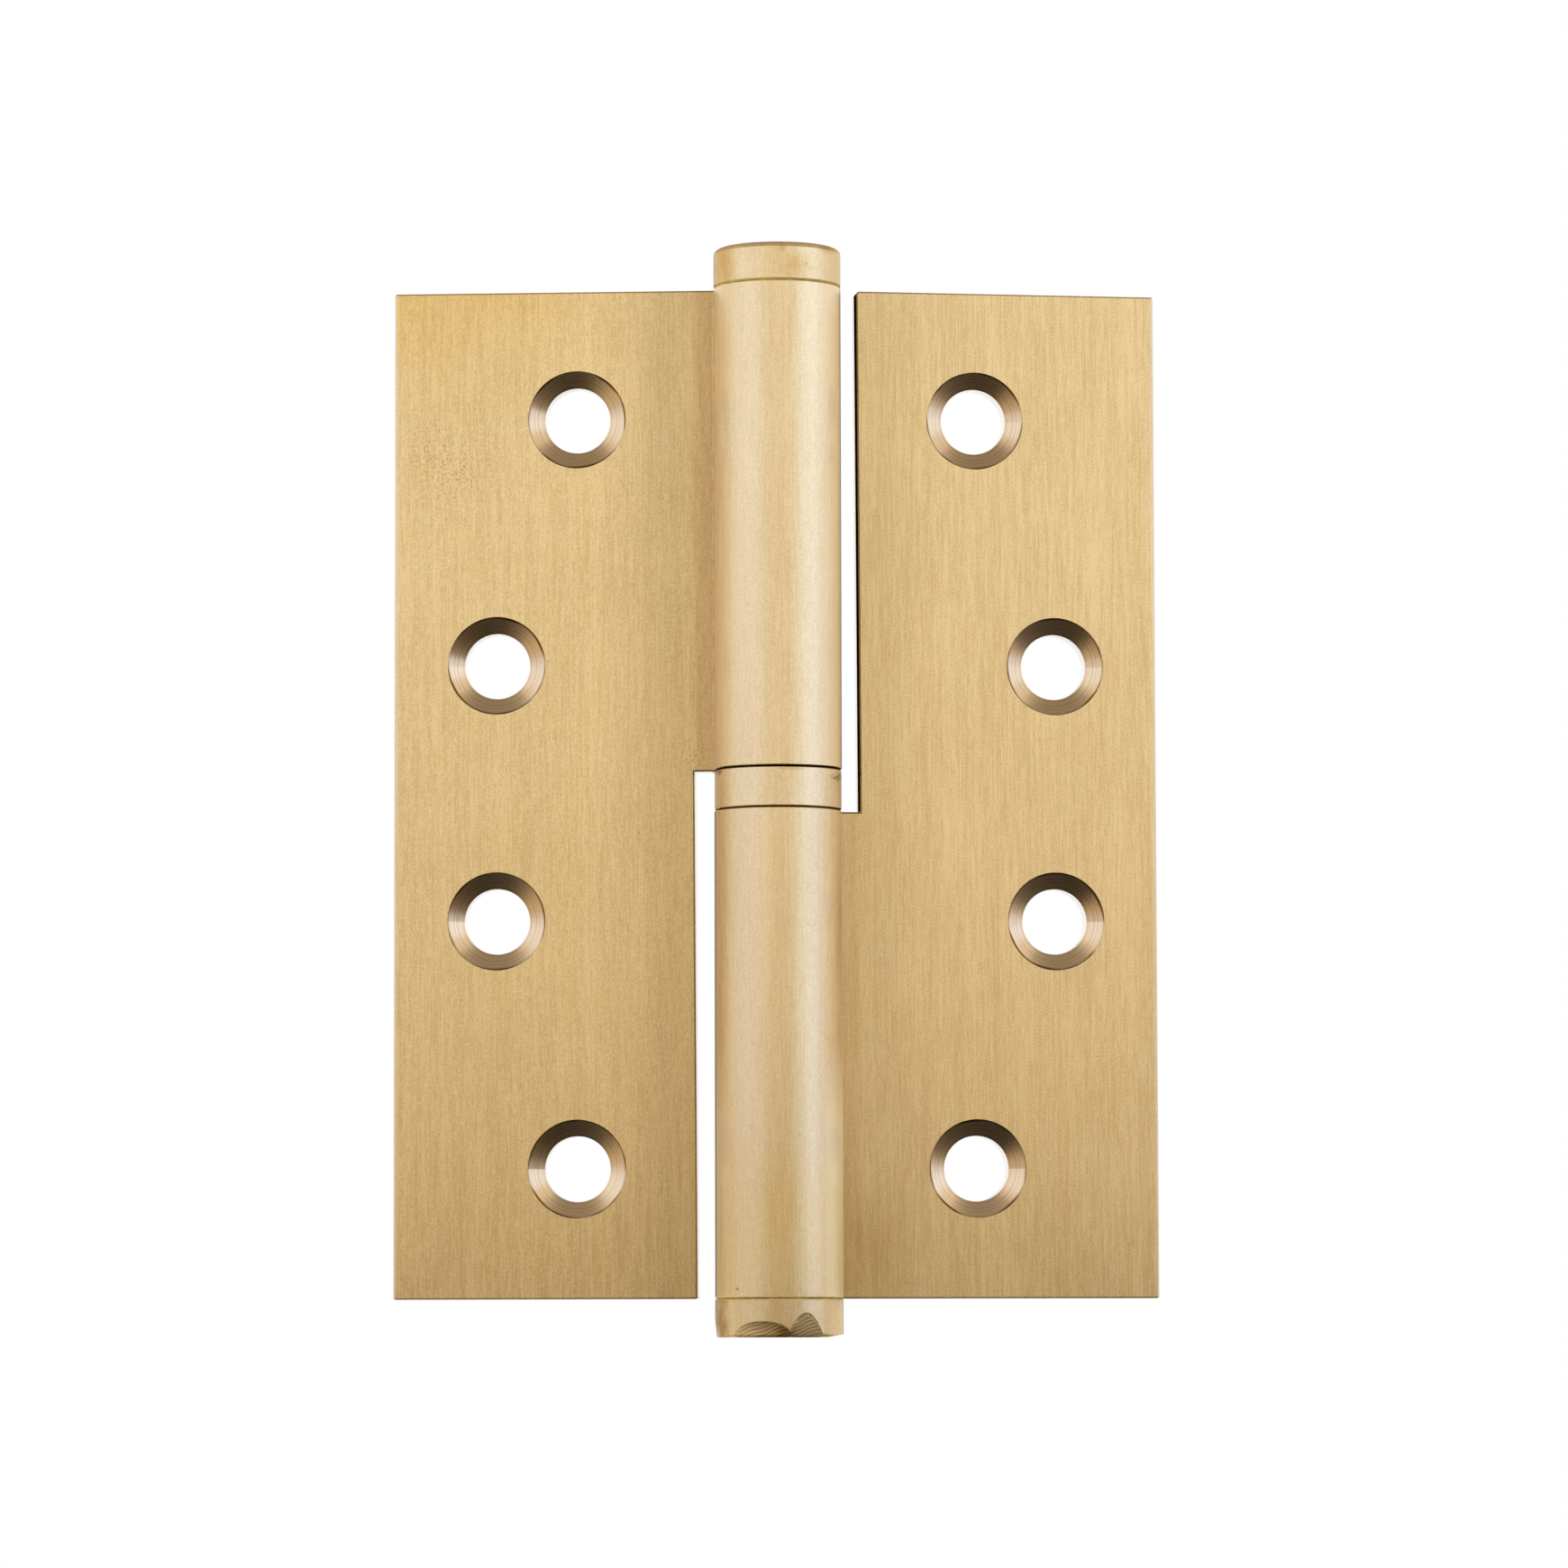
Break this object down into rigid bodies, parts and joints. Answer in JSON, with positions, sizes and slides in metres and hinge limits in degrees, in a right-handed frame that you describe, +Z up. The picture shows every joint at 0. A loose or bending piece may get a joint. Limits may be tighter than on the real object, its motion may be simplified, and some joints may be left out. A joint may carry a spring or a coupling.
{
  "type": "lift-off hinge",
  "caption": "Flat brass butt hinge whose door leaf lifts straight off a fixed pin: countersunk leaves, split round knuckle, loose ring and end caps.",
  "frame": {"origin": "on the pin's axis, at mid-height of the leaves", "axes": "+Z up along the pin, the way the door leaf lifts off; +X along the frame leaf, away from the knuckle; -Y out of the frame leaf's countersunk face"},
  "size_m": [0.0753, 0.0181, 0.1076],
  "materials": {
    "leaf_brass": "satin brushed along the knuckle, uncoated",
    "turned_brass": "satin, turned and brushed",
    "pin_steel": "ground"
  },
  "bodies": {
    "frame_side": {"frame_leaf": "leaf_brass", "hinge_pin": "pin_steel", "bottom_cap": "turned_brass"},
    "ring": {"bearing_ring": "turned_brass"},
    "door_side": {"door_leaf": "leaf_brass", "top_cap": "turned_brass"}
  },
  "joints": [
    {"name": "swing", "type": "hinge", "parent": "frame_side", "child": "ring", "pos_m": [0, 0, 0], "axis": [0, 0, 1], "range_deg": [-117, 192.3]},
    {"name": "lift_off", "type": "slide", "parent": "ring", "child": "door_side", "axis": [0, 0, 1], "range_m": [0, 0.045]}
  ]
}
